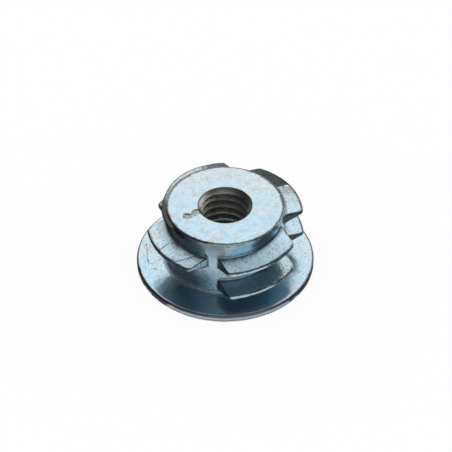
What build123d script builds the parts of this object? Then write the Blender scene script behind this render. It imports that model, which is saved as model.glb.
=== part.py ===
"""Screw-in tee nut for wood: a round flange, a barrel with an interrupted outer thread, and a threaded bore.

It is one piece, formed between two die halves that meet on the XZ plane and draw apart along Y.
The origin is the centre of the flange's underside, and +Z runs up the bore.
"""

import os
from math import asin, cos, degrees, hypot, radians, sin, tan

from build123d import *

# Driving dimensions, in millimetres and degrees

# Flange and barrel
overall_height = 8.5
flange_diameter = 20.0
flange_rim_thickness = 0.85
flange_crown = 0.3
flange_edge_round = 0.15
barrel_diameter = 13.2
barrel_foot_round = 0.4
barrel_top_round = 0.18

# Bore at its tapping size, with a countersink at each mouth
bore_diameter = 5.0
countersink_diameter = 6.1

# Outer thread, interrupted into lugs that stand a quarter turn apart
thread_lead = 3.25
first_lug_height = 2.75
lug_count = 7
lug_root_above = 0.78
lug_root_below = 0.62
lug_crest_thickness = 0.45
low_crest_diameter = 17.7
high_crest_diameter = 17.3
rising_lug_width = 8.5
level_lug_width = 8.9
level_lug_draft = 1.0
left_lug_shortfall = 0.6

# Rounding of a lug: where it leaves the barrel, at its outer corners and along its rim
lug_root_round = 0.25
lug_corner_round = 0.5
lug_rim_round = 0.1

# The last lug fades into the barrel: a blunt nose, then an off-centre circle a little larger than the barrel,
# with a narrow level land beside the wall, just under the top face. Bearings are from the lug's middle.
runout_step = 0.24
runout_land = 0.2
runout_swell = 0.25
runout_offset = 1.0
runout_bearing = -35.0
nose_diameter = 8.0
nose_reach = 1.6
nose_bearing = -33.0

# Low tail that runs on from the last lug to the parting plane, a circle of the barrel's size set off centre
tail_offset = 0.5
tail_bearing = 55.0
tail_slope = 0.4
tail_top_drop = 0.1
tail_crest_thickness = 0.3
tail_root_drop = 0.3

# How deep a lug is rooted in the barrel, how far its root fillet runs into the wall,
# and the angle that it is swept on past its ends before they are cut straight
lug_root_depth = 0.5
fillet_bite = 0.03
sweep_overrun = 1.0

# Sizes that follow from the ones above
barrel_radius = barrel_diameter / 2
flange_radius = flange_diameter / 2
quarter_turn = 90
quarter_rise = thread_lead / 4
lug_reach = thread_lead + lug_root_above + lug_root_below


def half_sweep(width):
    """The angle from a lug's middle that takes its section past its straight ends, at any depth."""
    return degrees(asin(width / 2 / (barrel_radius - lug_root_depth))) + sweep_overrun


def lug_section(plane, crest_radius, thinning=0):
    """A lug's section on a radial plane: flanks that close outwards to the crest, on filleted roots."""
    inner = barrel_radius - lug_root_depth
    wall = barrel_radius - fillet_bite
    above = lug_root_above - thinning
    below = lug_root_below - thinning
    half_crest = lug_crest_thickness / 2 - thinning
    with BuildSketch(plane) as section:
        with BuildLine():
            Polyline(
                (inner, above + lug_root_round),
                (wall, above + lug_root_round),
                (wall, above),
                (crest_radius, half_crest),
                (crest_radius, -half_crest),
                (wall, -below),
                (wall, -below - lug_root_round),
                (inner, -below - lug_root_round),
                close=True,
            )
        make_face()
        roots = section.vertices().group_by(Axis.X)[1].sort_by(Axis.Y)[1:3]
        fillet(roots, lug_root_round)
    return section.sketch


def radial_plane(bearing, height=0):
    """The plane through the bore's axis at a bearing from +X, with its own y up the bore."""
    outwards = (cos(radians(bearing)), sin(radians(bearing)), 0)
    across = (sin(radians(bearing)), -cos(radians(bearing)), 0)
    return Plane(origin=(0, 0, height), x_dir=outwards, z_dir=across)


def lug_outline(width, shortfall=0):
    """A lug's straight-sided outline from above, along the +X axis, less what its -Y end falls short."""
    with BuildSketch() as outline:
        with Locations((0, width / 2)):
            Rectangle(low_crest_diameter, width - shortfall, align=(Align.MIN, Align.MAX))
    return outline.sketch


def trim_lug(lug, outline):
    """Cut a swept lug to its outline, then round its outer corners and the rim of its flanks."""
    extrude(outline, amount=lug_reach, both=True, mode=Mode.INTERSECT)
    ends = lug.faces().filter_by(GeomType.PLANE).filter_by(Axis.Y)
    fillet([end.edges().sort_by(Axis.X)[-1] for end in ends], lug_corner_round)
    fillet(lug.edges().filter_by(is_rim), lug_rim_round)


def is_rim(edge):
    """True on an edge where a flank meets an end face, a corner or the crest."""
    middle = edge @ 0.5
    along = edge % 0.5
    outside_root = hypot(middle.X, middle.Y) > barrel_radius + lug_root_round
    off_ridge = abs(middle.Y) > lug_corner_round or abs(along.Y) > abs(along.X)
    lies_flat = abs(along.Z) < hypot(along.X, along.Y)
    return outside_root and off_ridge and lies_flat


def rising_lug(crest_radius):
    """A lug that climbs with the thread, about the +X axis, its crest at zero height there."""
    reach = half_sweep(rising_lug_width)
    climb = thread_lead * 2 * reach / 360
    with BuildPart() as turn:
        with BuildLine():
            path = Helix(thread_lead, climb, barrel_radius, center=(0, 0, -climb / 2))
        sweep(lug_section(radial_plane(0, -climb / 2), crest_radius), path=path, is_frenet=True)
    with BuildPart() as lug:
        add(turn.part, rotation=(0, 0, -reach))
        trim_lug(lug, lug_outline(rising_lug_width))
    return lug.part


def off_centre(offset, bearing):
    """A point at a distance from the bore's axis, on a bearing."""
    return (offset * cos(radians(bearing)), offset * sin(radians(bearing)))


def runout_lug(crest_radius, ceiling):
    """The last rising lug, its crest fading into the barrel and its top kept under the ceiling."""
    flank_width = crest_radius - barrel_radius
    flank_drop = (lug_root_above - lug_crest_thickness / 2) * (flank_width - runout_land) / flank_width
    floor = ceiling - lug_reach
    with BuildPart() as lug:
        add(rising_lug(crest_radius))
        with BuildSketch(Plane.XY.offset(ceiling)):
            with Locations(off_centre(runout_offset, runout_bearing)):
                Circle(barrel_radius + runout_swell)
            with Locations(off_centre(barrel_radius + nose_reach - nose_diameter / 2, nose_bearing)):
                Circle(nose_diameter / 2)
        extrude(amount=-lug_reach, mode=Mode.INTERSECT)
        with BuildSketch(Plane.XZ):
            with BuildLine():
                Polyline(
                    (0, ceiling),
                    (barrel_radius + runout_land, ceiling),
                    (crest_radius, ceiling - flank_drop),
                    (crest_radius, floor),
                    (0, floor),
                    close=True,
                )
            make_face()
        revolve(axis=Axis.Z, mode=Mode.INTERSECT)
    return lug.part


def runout_tail(ceiling):
    """The low ridge after the last lug, cut off at the parting plane."""
    crest_top = ceiling - tail_top_drop
    crest_bottom = crest_top - tail_crest_thickness
    root_bottom = crest_bottom - tail_root_drop
    with BuildPart() as ridge:
        with BuildSketch(Plane.XZ):
            with BuildLine():
                Polyline(
                    (0, ceiling),
                    (barrel_radius - tail_slope, ceiling),
                    (barrel_radius, crest_top),
                    (barrel_radius, crest_bottom),
                    (barrel_radius - tail_slope, root_bottom),
                    (0, root_bottom),
                    close=True,
                )
            make_face()
        revolve(axis=Axis.Z)
    with BuildPart() as tail:
        with Locations(off_centre(tail_offset, tail_bearing)):
            add(ridge.part)
        split(bisect_by=Plane.YZ)
    return tail.part


def level_lug(crest_radius, shortfall=0):
    """A lug across the parting plane, about the +X axis, thinning away from it by the dies' draft."""
    reach = half_sweep(level_lug_width)
    thinning = barrel_radius * sin(radians(reach)) * tan(radians(level_lug_draft))
    with BuildPart() as lug:
        with BuildLine():
            path = CenterArc((0, 0), barrel_radius, 0, reach)
        thick = lug_section(radial_plane(0), crest_radius)
        thin = lug_section(radial_plane(reach), crest_radius, thinning)
        sweep([thick, thin], path=path, multisection=True)
        mirror(about=Plane.XZ)
        trim_lug(lug, lug_outline(level_lug_width, shortfall))
    return lug.part


def thread_lugs():
    """Every lug in its place, from the lowest, at the front, up and round to the run-out at the back."""
    lugs = []
    for index in range(lug_count):
        share = index / (lug_count - 1)
        crest_radius = (low_crest_diameter + (high_crest_diameter - low_crest_diameter) * share) / 2
        height = first_lug_height + index * quarter_rise
        if index % 2:
            # A level lug lies where the rising lug after it begins
            height += quarter_rise / 2
            on_left = index % 4 == 3
            lug = level_lug(crest_radius, left_lug_shortfall if on_left else 0)
        elif index == lug_count - 1:
            lug = runout_lug(crest_radius, overall_height - runout_step - height)
        else:
            lug = rising_lug(crest_radius)
        lugs.append(Pos(0, 0, height) * Rot(0, 0, quarter_turn * (index - 1)) * lug)
    lugs.append(Rot(0, 0, quarter_turn) * runout_tail(overall_height - runout_step))
    return lugs


lugs = thread_lugs()

with BuildPart() as tee_nut:
    # Flange and barrel, turned about the bore
    with BuildSketch(Plane.XZ) as half_section:
        with BuildLine():
            Polyline(
                (0, 0),
                (flange_radius, 0),
                (flange_radius, flange_rim_thickness),
                (barrel_radius, flange_rim_thickness + flange_crown),
                (barrel_radius, overall_height),
                (0, overall_height),
                close=True,
            )
        make_face()
        fillet(half_section.vertices().group_by(Axis.X)[-1], flange_edge_round)
        foot, shoulder = half_section.vertices().group_by(Axis.X)[1].sort_by(Axis.Y)
        fillet(foot, barrel_foot_round)
        fillet(shoulder, barrel_top_round)
    revolve(axis=Axis.Z)

    # Interrupted outer thread
    add(lugs)

    # Bore, and the countersinks at its two mouths
    Hole(bore_diameter / 2)
    mouths = tee_nut.edges(Select.LAST).filter_by(GeomType.CIRCLE)
    chamfer(mouths, (countersink_diameter - bore_diameter) / 2)

tee_nut.part.label = "tee_nut"

os.makedirs("parts", exist_ok=True)
export_step(tee_nut.part, "parts/tee_nut.step")
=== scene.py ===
"""Looks of the tee nut: a formed, tapped and zinc-plated nut, standing on its flange on a pale table.

The nut's shape and finish are worked out in millimetres, and its mesh is brought to metres at the end.
"""

from functools import reduce
from math import asin, atan2, cos, degrees, exp, hypot, pi, radians, sin, sqrt, tan
from operator import add, mul

import bmesh
import bpy
from mathutils import Matrix, Vector, noise


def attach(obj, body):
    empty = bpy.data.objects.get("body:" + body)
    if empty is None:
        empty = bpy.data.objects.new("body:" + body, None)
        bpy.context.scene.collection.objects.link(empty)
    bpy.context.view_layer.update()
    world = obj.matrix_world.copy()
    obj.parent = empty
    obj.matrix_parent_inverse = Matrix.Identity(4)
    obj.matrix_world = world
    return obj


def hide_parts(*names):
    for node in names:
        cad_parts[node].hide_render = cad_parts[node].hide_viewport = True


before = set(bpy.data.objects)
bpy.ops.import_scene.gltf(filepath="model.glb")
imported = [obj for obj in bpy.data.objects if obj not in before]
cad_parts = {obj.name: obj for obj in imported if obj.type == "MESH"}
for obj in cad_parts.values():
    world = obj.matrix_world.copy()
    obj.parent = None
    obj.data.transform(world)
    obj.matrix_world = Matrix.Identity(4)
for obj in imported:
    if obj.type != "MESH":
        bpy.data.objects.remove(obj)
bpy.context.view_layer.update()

MM = 0.001

# Turned form of the nut
HEIGHT = 8.5
FLANGE_RADIUS = 10.0
RIM_HEIGHT = 0.85
FLANGE_CROWN = 0.3
RIM_ROUND = 0.15
RIM_TOP_ROUND = 0.3
BARREL_RADIUS = 6.6
FOOT_ROUND = 0.4
SHOULDER_ROUND = 0.22
BORE_RADIUS = 2.42
COUNTERSINK_RADIUS = 3.05
MOUTH_ROUND = 0.05

# Outer thread
LEAD = 3.25
FIRST_LUG = 2.75
LUG_COUNT = 7
LEFT_LUG = 3
ROOT_ABOVE = 0.78
ROOT_BELOW = 0.62
HALF_CREST = 0.225
LOW_CREST = 8.85
HIGH_CREST = 8.65
RISING_HALF = 4.25
LEVEL_HALF = 4.45
LEFT_SHORTFALL = 0.6
CORNER_ROUND = 0.5
ROOT_REACH = 0.2
RIM_REACH = 0.13

# How a level lug thins and its back half falls, for each degree from its middle, and how far the right lugs
# step up at the back
LEVEL_THINNING = 0.0018
LEVEL_BACK_DROP = 0.0035
RIGHT_BACK_LIFT = 0.12

# The last lug's run-out and tail: off-centre circles, as (offset, radius, bearing from the lug's middle)
RUNOUT_CEILING = 8.26
RUNOUT_LAND = 0.2
RUNOUT_FADE = (1.0, 6.85, -35.0)
RUNOUT_NOSE = (4.2, 4.0, -33.0)
RUNOUT_TAIL = (0.5, 6.6, 55.0)
TAIL_START = (25.0, 50.0)
TAIL_END = 90.0
TAIL_ROOT = 7.56
TAIL_RIM = 7.86
LAND_SHARE = 0.8

# Least sizes, so that nothing is divided by zero and no lug sinks into the wall
LEAST_LENGTH = 1e-9
LEAST_WIDTH = 1e-6
LEAST_STAND = 1e-4

# Points on a meridian. A round takes up at most a share of each of its sides.
ROUND_SHARE = 0.45
ROOT_POINTS = 5
RIM_POINTS = 4
BEND_POINTS = 3
LUG_STATIONS = 32

# Stations up the wall of the lower and the upper lug: the first of two on the upper rim, and the upper root
RIM_STATIONS = (19, 54)
ROOT_STATIONS = (31, 66)

# The spin starts between two lugs. Its steps go to a lug's end, straight, corner and middle and on to the far
# corner, straight, end and the next gap, with one narrow step past the middle, where the right lugs step up.
SPIN_START = 45.0
SPIN_STEPS = (6, 14, 6, 30, 1, 30, 6, 14, 6)
MIDDLE_STEP = 0.25

# Bands beside edges and roots that the painted edge and root shade follow, and how far a lug stands out
# before it has them
EDGE_BAND = 0.6
SHOULDER_EDGE = (BARREL_RADIUS - 0.14, HEIGHT)
LUG_SHOWS = 0.1

# Inner thread, M6 x 1, cut by a tap that runs past both ends of the bore
PITCH = 1.0
MINOR_RADIUS = 2.5
MAJOR_RADIUS = 3.0
TAP_STEPS = 120
TAP_START = -2.24
TAP_OVERRUN = 0.4
TAP_SPARE_TURNS = 4

# Gouge in the top face, from the bore to the left: two hollows with a neck between them.
# Its noise is given as (scale, height).
GOUGE_START = 3.0
GOUGE_LENGTH = 1.95
GOUGE_ENDS = (-0.2, 1.1)
GOUGE_MIDDLE = 0.62
GOUGE_SWAY = 0.1
GOUGE_WAVES = 9.0
GOUGE_WANDER = 0.06
GOUGE_WANDER_NOISE = (4.0, 3.0)
GOUGE_HALF_WIDTH = 0.5
GOUGE_DEPTH = 0.09
GOUGE_UNEVENNESS = 0.05
GOUGE_FLOOR_NOISE = (5.0, 8.0)
GOUGE_NECK = 0.52
GOUGE_NECK_REACH = 0.1
GOUGE_TIP = (0.85, 1.08)
GOUGE_SIDE = (0.55, 1.0)
GOUGE_LEAST_WIDTH = 1e-3

# Unevenness of the skin and nicks in the edges: depths, and noise as (scale, offset)
SKIN_DEPTH = 0.018
SWELL_SCALE = 0.55
RIPPLE = (1.7, (7, 1, 4))
NICK_DEPTH = 0.09
NICK_LEVEL = 0.15
NICKS = (2.6, (2, 9, 5))

# Where the wear is: none on the base or in the bore, nicks on the shoulder and the rim, the gouge in the top
BASE_TOP = 0.02
WORN_FROM = COUNTERSINK_RADIUS - 0.3
SHOULDER_BAND = (BARREL_RADIUS - 0.35, BARREL_RADIUS - 0.1)
SHOULDER_HEIGHTS = (8.2, 8.42)
RIM_BAND = (FLANGE_RADIUS - 0.3, FLANGE_RADIUS - 0.1)
TOP_FACE_FROM = HEIGHT - 0.03
TOP_FACE_RADIUS = BARREL_RADIUS - 0.2

# Vertices closer than this are one: on the blank, on the tap and on a card
BLANK_MERGE = 1e-4
TAP_MERGE = 1e-3
CARD_MERGE = 1e-6

# Edges sharper than this stay sharp, in degrees
SHARP_ANGLE = 38.0

# The lugs' undersides: above the flange, and turned down by this much
FLANGE_TOP = 1.4
UNDERSIDE_TILT = (0.1, 0.6)

# Directions across the nut that tones run along, besides x and y
DIAGONALS = {"across": (0.85, -0.53), "behind": (0.53, 0.85), "flange_back": (0.42, 0.91)}

# Limits that several places share, as (measure, where it is 0, where it is 1)
TOP = ("z", 8.34, 8.44)
BELOW_TOP = ("z", 8.44, 8.34)
BORE = ("radius", 3.06, 3.0)
THREAD_START = ("z", 7.7, 7.9)
RIM = ("radius", 9.72, 9.86)
ON_FLANGE = ("z", 1.6, 1.3)
OFF_FLANGE = ("z", 1.3, 1.6)
FRONT = ("y", -5.0, -6.5)
HIGH_UP = ("z", 7.2, 7.8)
WALL = [("radius", 6.8, 6.7), ("radius", 6.3, 6.4), BELOW_TOP]

# Places on the nut where its finish changes, each where all its limits hold
PLACES = {
    "top": [TOP],
    "shoulder": [("radius", 6.2, 6.5), ("z", 8.1, 8.4)],
    "bore": [BORE],
    # The countersink's left and back side, painted paler as painted light
    "cone": [BORE, ("z", 7.8, 8.0), ("across", 1.8, -0.6), ("behind", -1.3, -0.2)],
    # The bore's right and near side under the countersink, darkened as painted shade
    "right_thread_shade": [BORE, THREAD_START, ("across", 0.9, 2.2)],
    "near_thread_shade": [BORE, THREAD_START, ("behind", -0.3, -1.3)],
    # The back of the countersink, darkened as painted shade
    "lip_shade": [BORE, ("z", 8.1, 8.25), ("across", -2.7, -1.7), ("behind", 0.5, 1.5)],
    # The countersink's outer edge on the left, darkened as painted shade
    "mouth_shade": [("radius", 2.9, 2.97), ("radius", 3.12, 3.06), ("z", 8.25, 8.35), ("x", 1.5, -1.0)],
    "wall": WALL,
    "high_wall": [*WALL, ("z", 4.0, 5.5)],
    "blue_wall": [*WALL, ("x", -3.5, -1.5)],
    # The barrel's foot, darkened as painted shade in the corner
    "foot": [("radius", 7.15, 6.95), ("z", 1.75, 1.6)],
    # The run-out tail on the left, painted near-black as painted shade
    "tail": [("x", -4.6, -5.6), ("y", -2.8, -1.2), ("z", 7.5, 7.7), BELOW_TOP],
    # Beside the left lugs' roots, where painted shade darkens the plate
    "left_shade_zone": [
        ("radius", 8.2, 6.8),
        ("x", -4.5, -6.0),
        ("y", -3.2, -1.2),
        ("z", 1.6, 2.2),
        BELOW_TOP,
    ],
    "left_lug": [("z", 4.2, 4.6), ("z", 6.5, 6.3)],
    # The left and right sides, where the painted edge shade is stronger
    "left_side": [("x", -4.0, -5.5), ("z", 8.46, 8.38), HIGH_UP],
    "right_side": [("x", 4.6, 5.8), HIGH_UP],
    "back_right": [("x", 5.0, 6.0), ("y", 0.0, 0.3), OFF_FLANGE],
    # The back lower lug's left tip, darkened as painted shade
    "back_tip_shade": [
        ("x", -3.0, -3.8),
        ("y", 4.5, 5.5),
        ("radius", 6.9, 7.2),
        ("z", 3.2, 3.8),
        ("z", 7.4, 7.0),
    ],
    "front": [FRONT, OFF_FLANGE],
    "front_lug": [FRONT, OFF_FLANGE, ("z", 4.3, 3.8), ("radius", 6.7, 6.9)],
    # The front lugs' end faces, darkened as painted shade
    "front_end_shade": [
        ("x", -4.05, -4.2),
        ("x", -4.6, -4.4),
        ("y", -4.7, -5.1),
        ("radius", 6.65, 6.85),
        OFF_FLANGE,
    ],
    "flange": [ON_FLANGE],
    "flange_front": [ON_FLANGE, ("flange_back", -4.5, -7.0)],
    "rim": [RIM],
    # A painted highlight along the rim's side
    "rim_highlight": [RIM, ("z", 0.3, 0.4), ("z", 0.56, 0.46)],
    # The rim's upper round, darkened as painted shade
    "rim_round_shade": [RIM, ("z", 0.52, 0.62)],
}

# Noise patterns: size, detail, roughness and seed
PATTERNS = {
    "cloud": (1.6, 3.0, 0.5, 0.0),
    "leather": (0.4, 1.0, 0.5, 3.0),
    "grain": (0.2, 2.0, 0.6, 5.0),
    "pitting": (0.3, 1.0, 0.5, 11.0),
    "flecking": (0.35, 4.0, 0.7, 23.0),
    "wear": (0.8, 3.0, 0.6, 31.0),
    "speckle": (0.16, 1.0, 0.5, 41.0),
    "glitter": (0.17, 2.0, 0.6, 53.0),
}

# Attributes of the nut's mesh
ATTRIBUTES = ("edge", "root", "gouge", "underside")

# Lines seen from above, as (start, end, width), and the share of its width within which a line is full
LINE_CORE = 0.4
LINES = {
    "cracks": [
        ((-6.6, 6.42), (-7.94, 3.5), 0.04),
        ((-7.94, 3.5), (-7.73, 2.98), 0.045),
        ((-8.3, 2.5), (-7.77, 2.03), 0.04),
    ],
    "creases": [
        ((-8.48, -1.67), (-8.02, -2.62), 0.07),
        ((-8.02, -2.62), (-5.45, -3.47), 0.06),
        ((-8.7, 0.0), (-7.2, 0.05), 0.06),
    ],
    "cream": [((1.93, 2.56), (3.79, 5.03), 0.4)],
    "spots": [((-6.1, 1.7), (-5.8, 0.5), 0.6), ((-4.4, -4.2), (-3.5, -4.5), 0.55)],
}

# Sums: a constant and the weight of each value in it. Where noise, which lies about 0.5, is to move a sum
# both ways, the constant takes off half its weight.

# x and y as the lines follow them, bent by the skin's patterns
WARP_X = (-0.25, {"x": 1.0, "leather": 0.5})
WARP_Y = (-0.15, {"y": 1.0, "grain": 0.3})

# How much of the formed skin shows, what lies in it, and how dark its hollows are all over
BARE_SKIN = (1.0, {"top": -0.7, "high_wall": -0.7, "flange_front": -0.85, "back_right": -0.85})
SPECKLED = (0.0, {"pits": 1.0, "specks": 1.0, "hollows": 0.15})
OPEN_SKIN = (0.2, {"flange_front": -0.2, "back_right": -0.2})

ROUGHNESS = (
    0.12,
    {
        "cloud": 0.05,
        "dirt": 0.06,
        "wall": 0.05,
        "flange": 0.08,
        "bore": 0.33,
        "cone": -0.12,
        "rim": 0.12,
        "underside": 0.35,
        "foot": 0.25,
    },
)

# Marks that fade in where a sum passes from one level to another, as (constant, weights, levels)
# Weights of the painted shade along edges: stronger at the sides, weaker at the front
EDGE_SHADE_WEIGHTS = {
    "edge": 1.0,
    "grain": 0.3,
    "wear": 0.3,
    "left_side": 0.12,
    "right_side": 0.12,
    "front": -0.03,
    "front_lug": -0.05,
}
BROWNING = {"flecking": 1.0, "shoulder": 0.3, "cloud": 0.5, "spots": 0.22, "cream": 0.15}
MARKS = {
    "hollows": (0.0, {"grain": 1.0}, (0.48, 0.3)),
    "pits": (0.0, {"pitting": 1.0}, (0.68, 0.78)),
    "specks": (0.0, {"speckle": 1.0, "cloud": 0.25}, (0.72, 0.82)),
    "glints": (0.0, {"glitter": 1.0}, (0.52, 0.66)),
    "pale": (-0.25, {"cloud": 1.0, "wear": 0.5, "x": 0.016, "y": 0.025}, (0.25, 0.75)),
    "dull": (0.0, {"wear": 1.0}, (0.4, 0.7)),
    "brown": (0.0, BROWNING, (0.77, 1.12)),
    # Painted shade along the rims of the lugs and the shoulder edge
    "edge_shade": (-0.3, EDGE_SHADE_WEIGHTS, (EDGE_BAND - 0.17, EDGE_BAND - 0.05)),
    # Painted shade in the lugs' root corners
    "root_shade": (-0.15, {"root": 1.0, "wear": 0.3}, (EDGE_BAND - 0.4, EDGE_BAND - 0.1)),
    "gouged": (0.0, {"gouge": 1.0}, (0.0, 0.03)),
    "chips": (-0.15, {"gouge": 1.0, "grain": 0.3}, (0.115, 0.06)),
}

# Colour of the plate, from blue to pale, and the coats over it from first to last: a place or mark,
# how strong it is, and its colour
BLUE_PLATE = (0.56, 0.81, 0.96, 1)
PALE_PLATE = (0.69, 0.81, 0.85, 1)
COATS = [
    ("glints", 0.55, (0.86, 0.9, 0.91, 1)),
    ("wall", 0.2, (0.42, 0.43, 0.42, 1)),
    ("blue_wall", 0.45, (0.34, 0.72, 0.98, 1)),
    ("dull_top", 0.5, (0.46, 0.55, 0.62, 1)),
    ("brown_top", 0.8, (0.66, 0.61, 0.52, 1)),
    ("gouged", 0.7, (0.55, 0.48, 0.4, 1)),
    ("chipped", 0.75, (0.13, 0.1, 0.07, 1)),
    # Painted shade in the lugs' root corners
    ("root_shade", 0.6, (0.1, 0.11, 0.12, 1)),
    # Painted shade beside the left lugs' roots
    ("left_root_shade", 0.45, (0.12, 0.14, 0.15, 1)),
    # Painted shade: the tail on the left near-black
    ("tail", 0.88, (0.06, 0.06, 0.06, 1)),
    # Painted shade on the back lower lug's left tip
    ("back_tip_shade", 0.65, (0.1, 0.13, 0.17, 1)),
    ("front_lug", 0.6, (0.66, 0.78, 0.75, 1)),
    # Painted shade on the front lugs' end faces
    ("front_end_shade", 0.7, (0.2, 0.24, 0.22, 1)),
    # Painted shade at the barrel's foot
    ("foot", 0.35, (0.14, 0.17, 0.2, 1)),
    ("bore", 1.0, (0.5, 0.5, 0.45, 1)),
    # Painted light: the countersink paler on its left and back
    ("cone", 1.0, (0.64, 0.65, 0.62, 1)),
    # Painted shade in the bore's right and near side
    ("thread_start_shade", 0.75, (0.09, 0.09, 0.08, 1)),
    # Painted shade on the back of the countersink
    ("lip_shade", 0.6, (0.14, 0.14, 0.12, 1)),
    # Painted shade along the countersink's left edge
    ("mouth_shade", 0.8, (0.1, 0.1, 0.09, 1)),
    ("rim", 0.6, (0.5, 0.51, 0.55, 1)),
    # Painted highlight along the rim
    ("rim_highlight", 0.9, (0.9, 0.92, 0.95, 1)),
    # Painted shade on the rim's upper round
    ("rim_round_shade", 0.8, (0.1, 0.11, 0.12, 1)),
    # Painted shade under the lugs
    ("underside", 0.7, (0.14, 0.21, 0.26, 1)),
    ("dirt", 0.7, (0.13, 0.17, 0.19, 1)),
    # Painted shade along the edges
    ("edge_shade", 0.82, (0.08, 0.075, 0.07, 1)),
    ("cracked", 0.7, (0.06, 0.06, 0.05, 1)),
]

# Depths of the relief: the leathery skin, its grain where smooth and what bare skin adds, pits and cracks,
# and how much of it the flange lacks
LEATHER_DEPTH = 0.01
SMOOTH_GRAIN_DEPTH = 0.003
BARE_GRAIN_DEPTH = 0.027
PIT_DEPTH = 0.01
CRACK_DEPTH = 0.02
FLANGE_CALM = 0.95

# White table, in metres, and how much of its white doesn't depend on the light
TABLE_SIZE = 3.0
TABLE_WHITE = (0.96, 0.96, 0.96, 1.0)
TABLE_GLOW = 0.9
WHITE = (1.0, 1.0, 1.0, 1.0)

# Cards on a sphere that the metal mirrors: name, bearings, elevations, colour, and distance in metres
FAR = 0.45
NEAR = 0.4
CURVED_CARDS = [
    ("horizon_right", (20, 62), (0.3, 22), (0.1, 0.1, 0.1), FAR),
    ("horizon_round", (98, 352), (0.3, 22), (0.1, 0.1, 0.105), FAR),
    ("hood_low", (100, 328), (22, 45), (0.08, 0.08, 0.085), FAR),
    ("hood_high", (112, 328), (45, 79), (0.12, 0.12, 0.125), FAR),
    ("roof", (0, 360), (79, 89.9), (0.55, 0.55, 0.55), FAR),
    ("ceiling_low", (-32, 112), (55, 65), (0.9, 0.9, 0.9), FAR),
    ("ceiling_high", (-32, 112), (65, 79), (0.65, 0.65, 0.65), FAR),
    ("front_card", (215, 282), (1, 42), (0.8, 0.8, 0.8), NEAR),
    ("front_left_card", (196, 215), (1, 30), (0.35, 0.35, 0.35), NEAR),
]

# Cards on the table that only the metal mirrors, painted shade and light of the table round the nut: name,
# bearings, inner and outer radius in metres, colour
TABLE_CARDS = [
    ("table_front_edge", (196, 285), (0.01005, 0.01045), (0.6, 0.6, 0.6)),
    ("table_front_near", (196, 285), (0.01045, 0.0135), (0.95, 0.95, 0.95)),
    ("table_front_middle", (238, 285), (0.0135, 0.0175), (0.9, 0.9, 0.9)),
    ("table_front", (196, 285), (0.0175, 0.42), (0.35, 0.35, 0.35)),
    ("table_front_left", (196, 238), (0.0135, 0.0175), (0.35, 0.35, 0.35)),
    ("table_sides_near", (285, 556), (0.01005, 0.0125), (0.12, 0.12, 0.13)),
    ("table_right", (285, 335), (0.0125, 0.42), (0.12, 0.12, 0.13)),
    ("table_back", (335, 460), (0.0125, 0.42), (0.6, 0.6, 0.6)),
    ("table_left", (460, 556), (0.0125, 0.42), (0.12, 0.12, 0.13)),
]
CARD_RISE_STEPS = 8
CARD_TURN_STEPS = 48
CARD_CLEARANCE = 0.00003

# The photograph's viewpoint: angles in degrees, distances in metres
CAMERA_AZIMUTH = -32.0
CAMERA_ELEVATION = 42.06
CAMERA_DISTANCE = 0.3
CAMERA_AIM = (0, 0, 0.004)
CAMERA_SENSOR = 36.0
CAMERA_LENS = 213.05
CAMERA_SHIFT = (0.0016, 0.0196)
CAMERA_CLIP = 0.01


def blended(low, high, share):
    """The value a share of the way from low to high."""
    return low + (high - low) * share


def smooth_step(low, high, value):
    """0 below low, 1 above high, and an even rise between."""
    share = min(max((value - low) / (high - low), 0.0), 1.0)
    return share * share * (3 - 2 * share)


def spread(start, end, shares):
    """Points on the straight line from start to end, at shares of its length."""
    return [tuple(blended(a, b, share) for a, b in zip(start, end)) for share in shares]


def even(count):
    """Shares that divide a line into count equal parts, without its ends."""
    return [n / count for n in range(1, count)]


def rounded(before, corner, after, reach, count):
    """Points round a corner, from reach before it to reach after it along its two sides."""
    tip = Vector(corner)
    ends = []
    for neighbour in (before, after):
        side = Vector(neighbour) - tip
        ends.append(tip + side * min(reach / max(side.length, LEAST_LENGTH), ROUND_SHARE))
    first, last = ends
    points = []
    for step in range(count):
        share = step / (count - 1)
        inwards = first.lerp(tip, share)
        outwards = tip.lerp(last, share)
        points.append(tuple(inwards.lerp(outwards, share)))
    return points


def circle_reach(circle, bearing):
    """How far an off-centre circle reaches from the axis at a bearing."""
    offset, radius, heading = circle
    turn = radians(bearing - heading)
    return offset * cos(turn) + sqrt(max(radius ** 2 - (offset * sin(turn)) ** 2, 0.0))


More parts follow.
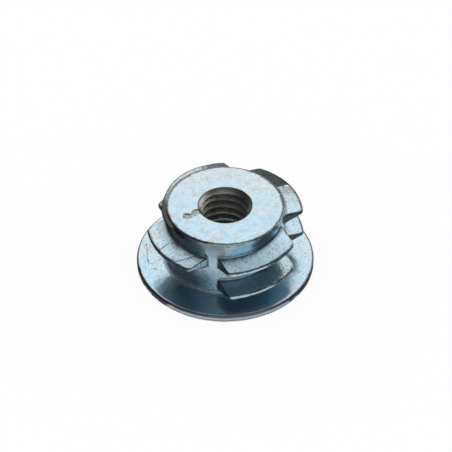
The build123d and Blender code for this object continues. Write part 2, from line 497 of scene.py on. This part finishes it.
class Lug:
    """One lug of the outer thread, measured from the bearing of its middle."""

    def __init__(self, index):
        on_left = index == LEFT_LUG
        on_right = index % 4 == 1
        self.level = index % 2 == 1
        self.crest = blended(LOW_CREST, HIGH_CREST, index / (LUG_COUNT - 1))
        self.middle = FIRST_LUG + index * LEAD / 4 + (LEAD / 8 if self.level else 0)
        self.back_side = -1 if on_left else 1
        self.back_lift = RIGHT_BACK_LIFT if on_right else 0.0
        half = LEVEL_HALF if self.level else RISING_HALF
        self.halves = (half - LEFT_SHORTFALL if on_left else half, half)
        self.span = tuple(side * self.turns(side)[2] for side in (-1, 1))

    def turns(self, bearing):
        """Angles from the middle, on a bearing's side, to its corner's start and end and to the lug's end."""
        half = self.halves[bearing > 0]
        along = sqrt((self.crest - CORNER_ROUND) ** 2 - (half - CORNER_ROUND) ** 2)
        corner = degrees(atan2(half - CORNER_ROUND, along))
        return corner, degrees(atan2(half, along)), degrees(asin(half / BARREL_RADIUS))

    def covers(self, bearing):
        """Whether the lug reaches a bearing."""
        return self.span[0] < bearing < self.span[1]

    def reach(self, bearing):
        """How far the lug stands out from the axis."""
        corner, straight, _ = self.turns(bearing)
        off = abs(bearing)
        if off <= corner:
            return self.crest
        if off <= straight:
            return circle_reach((self.crest - CORNER_ROUND, CORNER_ROUND, corner), off)
        return max(self.halves[bearing > 0] / sin(radians(off)), BARREL_RADIUS + LEAST_STAND)

    def flanks(self, bearing):
        """Heights at the root and at the full crest, of the lower flank and of the upper one."""
        middle = self.middle if self.level else self.middle + LEAD * bearing / 360
        thin = LEVEL_THINNING * abs(bearing) if self.level else 0.0
        at_back = self.level and bearing * self.back_side > 0
        sunk = thin + (LEVEL_BACK_DROP * abs(bearing) if at_back else 0.0)
        lift = self.back_lift if at_back else 0.0
        lower = (middle - ROOT_BELOW + thin, middle - HALF_CREST + thin)
        upper = (middle + ROOT_ABOVE - sunk + lift, middle + HALF_CREST - sunk)
        return lower, upper

    def corners(self, bearing):
        """Corners of the section: lower root and rim, upper rim, a point on the upper flank, upper root."""
        out = self.reach(bearing)
        depth = (out - BARREL_RADIUS) / (self.crest - BARREL_RADIUS)
        lower, upper = self.flanks(bearing)
        low_rim = (out, blended(*lower, depth))
        high_rim = (out, blended(*upper, depth))
        high_root = (BARREL_RADIUS, upper[0])
        half_way = spread(high_rim, high_root, (0.5,))[0]
        return (BARREL_RADIUS, lower[0]), low_rim, high_rim, half_way, high_root


class LastLug(Lug):
    """The last lug, which fades along off-centre circles into a low tail and stays under the top face."""

    def __init__(self, index):
        super().__init__(index)
        self.span = (self.span[0], TAIL_END)

    def reach(self, bearing):
        """How far the lug or its tail stands out from the axis."""
        out = min(max(circle_reach(RUNOUT_FADE, bearing), circle_reach(RUNOUT_NOSE, bearing)), self.crest)
        if bearing > 0:
            return max(out, circle_reach(RUNOUT_TAIL, bearing))
        return min(out, super().reach(bearing))

    def corners(self, bearing):
        """Corners of the section, as for the other lugs, with the edge of a land beside the wall."""
        out = self.reach(bearing)
        width = self.crest - BARREL_RADIUS
        lower, upper = self.flanks(bearing)
        fall = (upper[0] - upper[1]) / width
        low_root = min(lower[0], TAIL_ROOT)
        fading = smooth_step(*TAIL_START, bearing)
        low_rim = blended(blended(*lower, (out - BARREL_RADIUS) / width), TAIL_RIM, fading)
        shelf = RUNOUT_CEILING - fall * (out - BARREL_RADIUS - RUNOUT_LAND)
        high_rim = (out, min(upper[0] - fall * (out - BARREL_RADIUS), shelf, RUNOUT_CEILING))
        high_root = (BARREL_RADIUS, min(upper[0], RUNOUT_CEILING))
        land = min(RUNOUT_LAND / max(out - BARREL_RADIUS, LEAST_WIDTH), LAND_SHARE)
        bend = spread(high_root, high_rim, (land,))[0]
        if upper[0] > RUNOUT_CEILING:
            bend = (bend[0], min(upper[0] - fall * (bend[0] - BARREL_RADIUS), RUNOUT_CEILING))
        return (BARREL_RADIUS, low_root), (out, low_rim), high_rim, bend, high_root


def lug_section(lug, bearing, floor, ceiling):
    """A lug's outline on a meridian, from the wall below it to the wall above it."""
    low, low_rim, high_rim, bend, high = lug.corners(bearing)
    foot = rounded((BARREL_RADIUS, floor), low, low_rim, ROOT_REACH, ROOT_POINTS)
    head = rounded(bend, high, (BARREL_RADIUS, ceiling), ROOT_REACH, ROOT_POINTS)
    return (
        foot
        + spread(foot[-1], low_rim, (0.1, 0.35, 0.65, 0.88))
        + rounded(low, low_rim, high_rim, RIM_REACH, RIM_POINTS)
        + spread(low_rim, high_rim, (0.35, 0.65))
        + rounded(low_rim, high_rim, bend, RIM_REACH, RIM_POINTS)
        + spread(high_rim, bend, (0.25, 0.6))
        + rounded(high_rim, bend, high, RIM_REACH, BEND_POINTS)
        + spread(bend, head[0], (0.3, 0.6, 0.85))
        + head
    )


LUGS = [Lug(index) for index in range(LUG_COUNT - 1)] + [LastLug(LUG_COUNT - 1)]

# Lower and upper lug on each side of the barrel, right, back, left and front, and the turn to a lug's own
# bearing. The last lug's tail runs on over the left side.
COLUMNS = [
    ((LUGS[1], 0), (LUGS[5], 0)),
    ((LUGS[2], 0), (LUGS[6], 0)),
    ((LUGS[3], 0), (LUGS[6], 90)),
    ((LUGS[0], 0), (LUGS[4], 0)),
]

# The plain wall's ends, between the rounds at its foot and at its shoulder
FLANGE_SLOPE = FLANGE_CROWN / (FLANGE_RADIUS - BARREL_RADIUS)
FOOT_CORNER = (BARREL_RADIUS, RIM_HEIGHT + FLANGE_CROWN)
FOOT_REACH = FOOT_ROUND * tan((pi / 2 - FLANGE_SLOPE) / 2)
WALL_FOOT = FOOT_CORNER[1] + FOOT_REACH
WALL_TOP = HEIGHT - SHOULDER_ROUND


def covered(column, slot, bearing):
    """Whether a slot's lug reaches a bearing."""
    lug, turn = COLUMNS[column][slot]
    return lug.covers(bearing + turn)


def lug_roots(column, slot, bearing):
    """The wall that a slot's lug takes up at a bearing, or at its nearer end past that."""
    lug, turn = COLUMNS[column][slot]
    own = min(max(bearing + turn, lug.span[0]), lug.span[1])
    corners = lug.corners(own)
    return corners[0][1], corners[-1][1]


def slot_roots(column, slot, bearing):
    """The wall that a slot takes up: its lug's roots, or past the column a blend with the next one's."""
    side = 1 if bearing > 0 else -1
    end = abs(COLUMNS[column][0][0].span[side > 0])
    here = lug_roots(column, slot, bearing)
    if abs(bearing) <= end or covered(column, slot, bearing):
        return here
    other = (column + side) % 4
    other_end = abs(COLUMNS[other][0][0].span[side < 0])
    there = lug_roots(other, slot, -side * other_end)
    share = (abs(bearing) - end) / (90.0 - end - other_end)
    return tuple(blended(a, b, share) for a, b in zip(here, there))


def slot_points(column, slot, bearing, floor, ceiling):
    """A slot's points at a bearing: its lug's section, or plain wall past the lug's end."""
    if covered(column, slot, bearing):
        lug, turn = COLUMNS[column][slot]
        return lug_section(lug, bearing + turn, floor, ceiling)
    low, high = slot_roots(column, slot, bearing)
    first = (BARREL_RADIUS, max(low - ROOT_REACH, blended(low, floor, ROUND_SHARE)))
    last = (BARREL_RADIUS, min(high + ROOT_REACH, blended(high, ceiling, ROUND_SHARE)))
    return spread(first, last, [n / (LUG_STATIONS - 1) for n in range(LUG_STATIONS)])


def wall_points(angle):
    """The barrel's wall and lugs on the meridian at an angle, in degrees from +X."""
    column = int(((angle + 45) % 360) // 90)
    bearing = (angle - column * 90 + 180) % 360 - 180
    between = (slot_roots(column, 0, bearing)[1] + slot_roots(column, 1, bearing)[0]) / 2
    lower = slot_points(column, 0, bearing, WALL_FOOT, between)
    upper = slot_points(column, 1, bearing, between, WALL_TOP)
    return (
        spread((BARREL_RADIUS, WALL_FOOT), lower[0], (0.3, 0.75))
        + lower
        + spread(lower[-1], upper[0], (0.15, 0.5, 0.85))
        + upper
        + spread(upper[-1], (BARREL_RADIUS, WALL_TOP), (0.5,))
    )


def profile():
    """The blank's half section, from the bore's lower end round to its upper one, and the wall's stations."""
    sink = COUNTERSINK_RADIUS - BORE_RADIUS
    low_throat, high_throat = (BORE_RADIUS, sink), (BORE_RADIUS, HEIGHT - sink)
    low_mouth, high_mouth = (COUNTERSINK_RADIUS, 0.0), (COUNTERSINK_RADIUS, HEIGHT)
    low_rim, high_rim = (FLANGE_RADIUS, 0.0), (FLANGE_RADIUS, RIM_HEIGHT)
    shoulder = (BARREL_RADIUS, HEIGHT)
    points = [low_throat] + spread(low_throat, low_mouth, (0.4, 0.8))
    points += rounded(low_throat, low_mouth, low_rim, MOUTH_ROUND, 3)
    points += spread(low_mouth, low_rim, [0.02] + even(10) + [0.96])
    points += rounded(low_mouth, low_rim, high_rim, RIM_ROUND, 6)
    points += spread(low_rim, high_rim, (0.25, 0.4, 0.55))
    points += rounded(low_rim, high_rim, FOOT_CORNER, RIM_TOP_ROUND, 8)
    points += spread(high_rim, FOOT_CORNER, even(16)[1:-1] + [0.87])
    points += rounded(high_rim, FOOT_CORNER, shoulder, FOOT_REACH, 7)
    first = len(points)
    points += wall_points(SPIN_START)
    wall = range(first, len(points))
    points += rounded(FOOT_CORNER, shoulder, high_mouth, SHOULDER_ROUND, 6)
    points += spread(shoulder, high_mouth, [0.065] + even(30)[2:] + [0.985])
    points += rounded(shoulder, high_mouth, high_throat, MOUTH_ROUND, 3)
    points += spread(high_mouth, high_throat, (0.2, 0.6))
    points.append(high_throat)
    return points, wall


def stretches():
    """Turns of the spin, as (angle in degrees, steps), fine at the lugs' corners and ends."""
    turns = []
    at = SPIN_START
    for column in (1, 2, 3, 4):
        lug = COLUMNS[column % 4][0][0]
        corner, straight, end = lug.turns(-1)
        far_corner, far_straight, far_end = lug.turns(1)
        bearings = [-end, -straight, -corner, 0.0, MIDDLE_STEP, far_corner, far_straight, far_end, 45.0]
        for bearing, steps in zip(bearings, SPIN_STEPS):
            goal = column * 90 + bearing
            turns.append((goal - at, steps))
            at = goal
    return turns


def closeness(vert, spots):
    """How far inside the edge band a vertex lies, measured on its meridian from the nearest spot."""
    out = hypot(vert.co.x, vert.co.y)
    return max([EDGE_BAND - hypot(out - radius, vert.co.z - height) for radius, height in spots] + [0.0])


def turned_blank(bm, points):
    """Spin the profile into a closed blank whose vertices keep their stations on it."""
    station_of = bm.verts.layers.int.new("station")
    start = radians(SPIN_START)
    ring = []
    for station, (radius, height) in enumerate(points):
        vert = bm.verts.new((radius * cos(start), radius * sin(start), height))
        vert[station_of] = station
        ring.append(vert)
    edges = [bm.edges.new(pair) for pair in zip(ring, ring[1:] + ring[:1])]
    geometry = ring + edges
    for turn, steps in stretches():
        spun = bmesh.ops.spin(bm, geom=geometry, axis=(0, 0, 1), angle=radians(turn), steps=steps)
        geometry = spun["geom_last"]
    bmesh.ops.remove_doubles(bm, verts=bm.verts, dist=BLANK_MERGE)
    return station_of


def pressed_blank():
    """The nut without its inner thread: a turned blank whose wall is pressed out to the lugs."""
    bm = bmesh.new()
    points, wall = profile()
    for name in ("edge", "root", "gouge"):
        bm.verts.layers.float.new(name)
    station_of = turned_blank(bm, points)
    edge_of = bm.verts.layers.float["edge"]
    root_of = bm.verts.layers.float["root"]
    sections = {}
    for vert in bm.verts:
        rims, roots = [SHOULDER_EDGE], []
        if vert[station_of] in wall:
            angle = atan2(vert.co.y, vert.co.x)
            key = round(angle, 5)
            if key not in sections:
                sections[key] = wall_points(degrees(angle))
            section = sections[key]
            radius, height = section[vert[station_of] - wall.start]
            vert.co = (radius * cos(angle), radius * sin(angle), height)
            for rim, root in zip(RIM_STATIONS, ROOT_STATIONS):
                if section[rim][0] > BARREL_RADIUS + LUG_SHOWS:
                    rims += [section[rim], section[rim + 1]]
                    roots.append(section[root])
        vert[edge_of] = closeness(vert, rims)
        vert[root_of] = closeness(vert, roots)
    bmesh.ops.recalc_face_normals(bm, faces=bm.faces)
    wear(bm)
    return bm


def flat_noise(x, y, scale, height):
    """Soft noise from -1 to 1 at a point seen from above."""
    return noise.noise(Vector((x * scale, y * scale, height)))


def gouge_depth(x, y):
    """The depth of the chipped groove beside the bore at a point of the top face."""
    along = (-x - GOUGE_START) / GOUGE_LENGTH
    if not GOUGE_ENDS[0] < along < GOUGE_ENDS[1]:
        return 0.0
    middle = GOUGE_MIDDLE + GOUGE_SWAY * sin(GOUGE_WAVES * along)
    middle += GOUGE_WANDER * flat_noise(x, y, *GOUGE_WANDER_NOISE)
    neck = 1.0 - 0.5 * exp(-((along - GOUGE_NECK) / GOUGE_NECK_REACH) ** 2)
    half = GOUGE_HALF_WIDTH * neck * (1.0 - smooth_step(*GOUGE_TIP, along))
    across = abs(y - middle) / max(half, GOUGE_LEAST_WIDTH)
    floor = GOUGE_DEPTH + GOUGE_UNEVENNESS * flat_noise(x, y, *GOUGE_FLOOR_NOISE)
    return floor * (1.0 - smooth_step(*GOUGE_SIDE, across))


def noise_at(place, scale, offset):
    """Soft noise from -1 to 1 at a place."""
    return noise.noise(place * scale + Vector(offset))


def wear(bm):
    """Unevenness of the formed skin, nicked edges and the gouge. Nothing grows past the turned form."""
    gouge_of = bm.verts.layers.float["gouge"]
    bm.normal_update()
    normals = {vert: vert.normal.copy() for vert in bm.verts}
    for vert in bm.verts:
        x, y, z = vert.co
        out = hypot(x, y)
        if z < BASE_TOP or out < WORN_FROM:
            continue
        swell = noise.noise(vert.co * SWELL_SCALE) + 0.5 * noise_at(vert.co, *RIPPLE)
        sunk = SKIN_DEPTH * (1.0 + swell)
        on_shoulder = smooth_step(*SHOULDER_BAND, out) * smooth_step(*SHOULDER_HEIGHTS, z)
        on_rim = smooth_step(*RIM_BAND, out)
        nick = max(noise_at(vert.co, *NICKS) - NICK_LEVEL, 0.0)
        sunk += NICK_DEPTH * nick * max(on_shoulder, on_rim)
        vert.co -= normals[vert] * sunk
        if z > TOP_FACE_FROM and out < TOP_FACE_RADIUS:
            vert[gouge_of] = gouge_depth(x, y)
            vert.co.z -= vert[gouge_of]


def tap():
    """The tool that cuts the inner thread: one pitch of its profile, spun up the bore."""
    flank = (MAJOR_RADIUS - MINOR_RADIUS) * tan(radians(30))
    tip = PITCH / 8
    land = PITCH - tip - 2 * flank
    bm = bmesh.new()
    heights = (0.0, land, land + flank, land + flank + tip, PITCH)
    radii = (MINOR_RADIUS, MINOR_RADIUS, MAJOR_RADIUS, MAJOR_RADIUS, MINOR_RADIUS)
    ring = [bm.verts.new((radius, 0, height + TAP_START)) for radius, height in zip(radii, heights)]
    edges = [bm.edges.new(pair) for pair in zip(ring, ring[1:])]
    turns = int(HEIGHT / PITCH) + TAP_SPARE_TURNS
    bmesh.ops.spin(
        bm,
        geom=ring + edges,
        axis=(0, 0, 1),
        dvec=(0, 0, PITCH / TAP_STEPS),
        angle=2 * pi * turns,
        steps=TAP_STEPS * turns,
    )
    bmesh.ops.remove_doubles(bm, verts=bm.verts, dist=TAP_MERGE)
    for height, up in ((-TAP_OVERRUN, -1), (HEIGHT + TAP_OVERRUN, 1)):
        everything = bm.verts[:] + bm.edges[:] + bm.faces[:]
        cut = bmesh.ops.bisect_plane(
            bm, geom=everything, plane_co=(0, 0, height), plane_no=(0, 0, up), clear_outer=True
        )
        rim = [item for item in cut["geom_cut"] if isinstance(item, bmesh.types.BMEdge)]
        bmesh.ops.contextual_create(bm, geom=rim)
    bmesh.ops.recalc_face_normals(bm, faces=bm.faces)
    return bm


def as_object(bm, name):
    """A bmesh as an object in the scene."""
    mesh = bpy.data.meshes.new(name)
    bm.to_mesh(mesh)
    bm.free()
    piece = bpy.data.objects.new(name, mesh)
    bpy.context.scene.collection.objects.link(piece)
    return piece


def cut_with(piece, tool):
    """Take the tool's shape out of a piece."""
    cut = piece.modifiers.new("cut", "BOOLEAN")
    cut.operation = "DIFFERENCE"
    cut.solver = "EXACT"
    cut.object = tool
    depsgraph = bpy.context.evaluated_depsgraph_get()
    mesh = bpy.data.meshes.new_from_object(piece.evaluated_get(depsgraph))
    piece.modifiers.clear()
    piece.data = mesh
    bpy.data.objects.remove(tool)


def mark_undersides(mesh):
    """An attribute for the lugs' undersides, which are made rougher and darkened with painted shade."""
    shares = []
    for vert in mesh.vertices:
        above_flange = vert.co.z > FLANGE_TOP * MM
        shares.append(smooth_step(*UNDERSIDE_TILT, -vert.normal.z) if above_flange else 0.0)
    mesh.attributes.new("underside", "FLOAT", "POINT").data.foreach_set("value", shares)


class Value:
    """A socket in a node tree. Each operator used on it adds a Math node."""

    def __init__(self, nodes, socket):
        self.nodes = nodes
        self.socket = socket

    def math(self, operation, first, second):
        return self.nodes.add("ShaderNodeMath", {"operation": operation}, {0: first, 1: second})

    def __add__(self, other):
        return self.math("ADD", self, other)

    def __radd__(self, other):
        return self.math("ADD", other, self)

    def __sub__(self, other):
        return self.math("SUBTRACT", self, other)

    def __rsub__(self, other):
        return self.math("SUBTRACT", other, self)

    def __mul__(self, other):
        return self.math("MULTIPLY", self, other)

    def __rmul__(self, other):
        return self.math("MULTIPLY", other, self)


class Nodes:
    """A node tree that starts empty."""

    def __init__(self, tree):
        self.tree = tree
        tree.nodes.clear()

    def add(self, kind, settings=None, sockets=None, output=0):
        """A node of a kind: its settings are set first, then its sockets get their values or links."""
        node = self.tree.nodes.new(kind)
        for name, setting in (settings or {}).items():
            setattr(node, name, setting)
        for name, value in (sockets or {}).items():
            socket = node.inputs[name]
            if isinstance(value, Value):
                self.tree.links.new(value.socket, socket)
            else:
                socket.default_value = value
        return Value(self, node.outputs[output]) if node.outputs else None


class Finish:
    """What a finish is mixed from, by name: measures in millimetres, places, patterns and marks."""

    def __init__(self, nodes):
        self.nodes = nodes
        metres = nodes.add("ShaderNodeTexCoord", output="Object")
        self.place = nodes.add("ShaderNodeVectorMath", {"operation": "SCALE"}, {0: metres, "Scale": 1 / MM})
        self.at = {}
        for name, axis in zip("xyz", "XYZ"):
            self.at[name] = nodes.add("ShaderNodeSeparateXYZ", None, {0: self.place}, axis)
        flat = nodes.add("ShaderNodeVectorMath", {"operation": "MULTIPLY"}, {0: self.place, 1: (1, 1, 0)})
        self.at["radius"] = nodes.add("ShaderNodeVectorMath", {"operation": "LENGTH"}, {0: flat}, "Value")
        for name, (x_share, y_share) in DIAGONALS.items():
            self.at[name] = x_share * self.at["x"] + y_share * self.at["y"]

    def noise(self, size, detail, roughness, seed):
        """Soft noise about 0.5, with features of a size."""
        place = self.nodes.add("ShaderNodeVectorMath", None, {0: self.place, 1: (seed, -seed, 2 * seed)})
        sockets = {"Vector": place, "Scale": 1 / size, "Detail": detail, "Roughness": roughness}
        return self.nodes.add("ShaderNodeTexNoise", None, sockets)

    def attribute(self, name):
        """A value that the mesh carries."""
        return self.nodes.add("ShaderNodeAttribute", {"attribute_name": name}, None, "Fac")

    def rise(self, value, low, high):
        """0 below low and 1 above high, or the other way round where low is the greater."""
        sockets = {"Value": value, "From Min": low, "From Max": high}
        return self.nodes.add("ShaderNodeMapRange", {"interpolation_type": "SMOOTHSTEP"}, sockets)

    def held(self, value):
        """A value kept from 0 to 1."""
        return self.nodes.add("ShaderNodeClamp", None, {"Value": value})

    def mixed(self, share, first, second):
        """One colour over another."""
        return self.nodes.add("ShaderNodeMix", {"data_type": "RGBA"}, {0: share, 6: first, 7: second}, 2)

    def zone(self, limits):
        """A place on the nut, where all its limits hold."""
        return reduce(mul, [self.rise(self.at[measure], low, high) for measure, low, high in limits])

    def total(self, constant, weights):
        """A constant and a weight of each named value."""
        return reduce(add, [weight * self.at[name] for name, weight in weights.items()], constant)

    def line(self, start, end, width):
        """A thin mark, seen from above, from one point to another."""
        x, y = self.at["warp_x"], self.at["warp_y"]
        run = Vector(end) - Vector(start)
        step = run / run.length_squared
        along = self.held(x * step.x + y * step.y - step.dot(Vector(start)))
        across = x - along * run.x - start[0]
        up = y - along * run.y - start[1]
        return self.rise(across * across + up * up, width ** 2, (LINE_CORE * width) ** 2)


def plate_values(finish):
    """Work out every place, pattern and mark of the plate."""
    at = finish.at
    for name, limits in PLACES.items():
        at[name] = finish.zone(limits)
    for name, settings in PATTERNS.items():
        at[name] = finish.noise(*settings)
    for name in ATTRIBUTES:
        at[name] = finish.attribute(name)
    at["warp_x"] = finish.total(*WARP_X)
    at["warp_y"] = finish.total(*WARP_Y)
    for name, lines in LINES.items():
        at[name] = reduce(add, [finish.line(*line) for line in lines])
    for name, (constant, weights, levels) in MARKS.items():
        at[name] = finish.rise(finish.total(constant, weights), *levels)
    at["skin"] = finish.held(finish.total(*BARE_SKIN))
    at["dirt"] = finish.held(finish.total(*SPECKLED) * at["skin"] + finish.total(*OPEN_SKIN) * at["hollows"])
    at["cracked"] = finish.held(at["flange"] * at["cracks"] + at["left_lug"] * at["creases"])
    at["dull_top"] = at["dull"] * at["top"]
    at["brown_top"] = at["brown"] * at["top"]
    at["chipped"] = at["chips"] * at["gouged"]
    at["left_root_shade"] = at["left_shade_zone"] * (1 - at["wall"])
    at["thread_start_shade"] = at["right_thread_shade"] + at["near_thread_shade"]


def plate_relief(at):
    """The height of the skin's relief, in millimetres."""
    relief = at["skin"] * (1 - FLANGE_CALM * at["flange"])
    grain_depth = SMOOTH_GRAIN_DEPTH + BARE_GRAIN_DEPTH * relief
    skin = (LEATHER_DEPTH * at["leather"] - PIT_DEPTH * at["pits"]) * relief
    return skin + grain_depth * at["grain"] - CRACK_DEPTH * at["cracked"]


def zinc_plate():
    """Bright zinc plate with a pale blue passivate, over a formed and finely pitted skin, with painted
    highlights and painted shade in its colour.
    """
    material = bpy.data.materials.new("zinc_plate")
    material.use_nodes = True
    nodes = Nodes(material.node_tree)
    finish = Finish(nodes)
    plate_values(finish)
    colour = finish.mixed(finish.at["pale"], BLUE_PLATE, PALE_PLATE)
    for name, strength, coat in COATS:
        colour = finish.mixed(strength * finish.at[name], colour, coat)
    roughness = finish.total(*ROUGHNESS)
    height = plate_relief(finish.at)
    bump = nodes.add("ShaderNodeBump", None, {"Height": height, "Strength": 1.0, "Distance": MM})
    sockets = {"Base Color": colour, "Metallic": 1.0, "Roughness": roughness, "Normal": bump}
    shader = nodes.add("ShaderNodeBsdfPrincipled", None, sockets)
    nodes.add("ShaderNodeOutputMaterial", None, {"Surface": shader})
    return material


def matt_paint(name, colour):
    """A plain matt paint."""
    material = bpy.data.materials.new(name)
    material.use_nodes = True
    nodes = Nodes(material.node_tree)
    shader = nodes.add("ShaderNodeBsdfDiffuse", None, {"Color": colour, "Roughness": 1.0})
    nodes.add("ShaderNodeOutputMaterial", None, {"Surface": shader})
    return material


def table_paint():
    """White that the camera and the metal see evenly, with a trace of the nut's shadow."""
    material = bpy.data.materials.new("table_white")
    material.use_nodes = True
    nodes = Nodes(material.node_tree)
    rays = ("Is Camera Ray", "Is Glossy Ray", "Is Transmission Ray")
    seen = reduce(add, [nodes.add("ShaderNodeLightPath", output=ray) for ray in rays])
    matt = nodes.add("ShaderNodeBsdfDiffuse", None, {"Color": TABLE_WHITE})
    white = nodes.add("ShaderNodeEmission", None, {"Color": WHITE, "Strength": 1.0})
    shader = nodes.add("ShaderNodeMixShader", None, {0: seen * TABLE_GLOW, 1: matt, 2: white})
    nodes.add("ShaderNodeOutputMaterial", None, {"Surface": shader})
    return material


def table():
    """A white table top."""
    bm = bmesh.new()
    bmesh.ops.create_grid(bm, x_segments=1, y_segments=1, size=TABLE_SIZE)
    top = as_object(bm, "table_top")
    top.data.materials.append(table_paint())


def mirrored_card(name, line, bearings, colour):
    """A card that only the metal mirrors: a line of (reach, height) points, spun from bearing to bearing."""
    bm = bmesh.new()
    first, last = (radians(bearing) for bearing in bearings)
    verts = [bm.verts.new((reach * cos(first), reach * sin(first), height)) for reach, height in line]
    edges = [bm.edges.new(pair) for pair in zip(verts, verts[1:])]
    bmesh.ops.spin(bm, geom=verts + edges, axis=(0, 0, 1), angle=last - first, steps=CARD_TURN_STEPS)
    bmesh.ops.remove_doubles(bm, verts=bm.verts, dist=CARD_MERGE)
    piece = as_object(bm, name)
    piece.data.materials.append(matt_paint(name, (*colour, 1.0)))
    piece.visible_camera = False
    piece.visible_diffuse = False
    piece.visible_shadow = False


def curved_card(name, bearings, elevations, colour, distance):
    """A card on a part of a sphere round the nut."""
    line = []
    for step in range(CARD_RISE_STEPS + 1):
        elevation = radians(blended(*elevations, step / CARD_RISE_STEPS))
        line.append((distance * cos(elevation), distance * sin(elevation)))
    mirrored_card(name, line, bearings, colour)


def table_card(name, bearings, reaches, colour):
    """A flat part of a ring on the table."""
    mirrored_card(name, [(reach, CARD_CLEARANCE) for reach in reaches], bearings, colour)


def room():
    """An even white room."""
    world = bpy.data.worlds.new("room")
    bpy.context.scene.world = world
    world.use_nodes = True
    nodes = Nodes(world.node_tree)
    shader = nodes.add("ShaderNodeBackground", None, {"Color": WHITE, "Strength": 1.0})
    nodes.add("ShaderNodeOutputWorld", None, {"Surface": shader})


def camera():
    """The photograph's viewpoint: high, from the front left, with a long lens."""
    azimuth, elevation = radians(CAMERA_AZIMUTH), radians(CAMERA_ELEVATION)
    away = Vector((sin(azimuth) * cos(elevation), -cos(azimuth) * cos(elevation), sin(elevation)))
    lens = bpy.data.cameras.new("camera")
    lens.sensor_width = CAMERA_SENSOR
    lens.lens = CAMERA_LENS
    lens.shift_x, lens.shift_y = CAMERA_SHIFT
    lens.clip_start = CAMERA_CLIP
    piece = bpy.data.objects.new("camera", lens)
    piece.location = Vector(CAMERA_AIM) + away * CAMERA_DISTANCE
    piece.rotation_euler = (-away).to_track_quat("-Z", "Y").to_euler()
    bpy.context.scene.collection.objects.link(piece)
    bpy.context.scene.camera = piece


nut = as_object(pressed_blank(), "tee_nut_plated")
cut_with(nut, as_object(tap(), "tap"))
nut.data.transform(Matrix.Scale(MM, 4))
nut.data.shade_smooth()
nut.data.set_sharp_from_angle(angle=radians(SHARP_ANGLE))
mark_undersides(nut.data)
nut.data.materials.append(zinc_plate())
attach(nut, "root")
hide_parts("tee_nut")

table()
for card in CURVED_CARDS:
    curved_card(*card)
for card in TABLE_CARDS:
    table_card(*card)
room()
camera()
bpy.context.scene.view_settings.view_transform = "Standard"
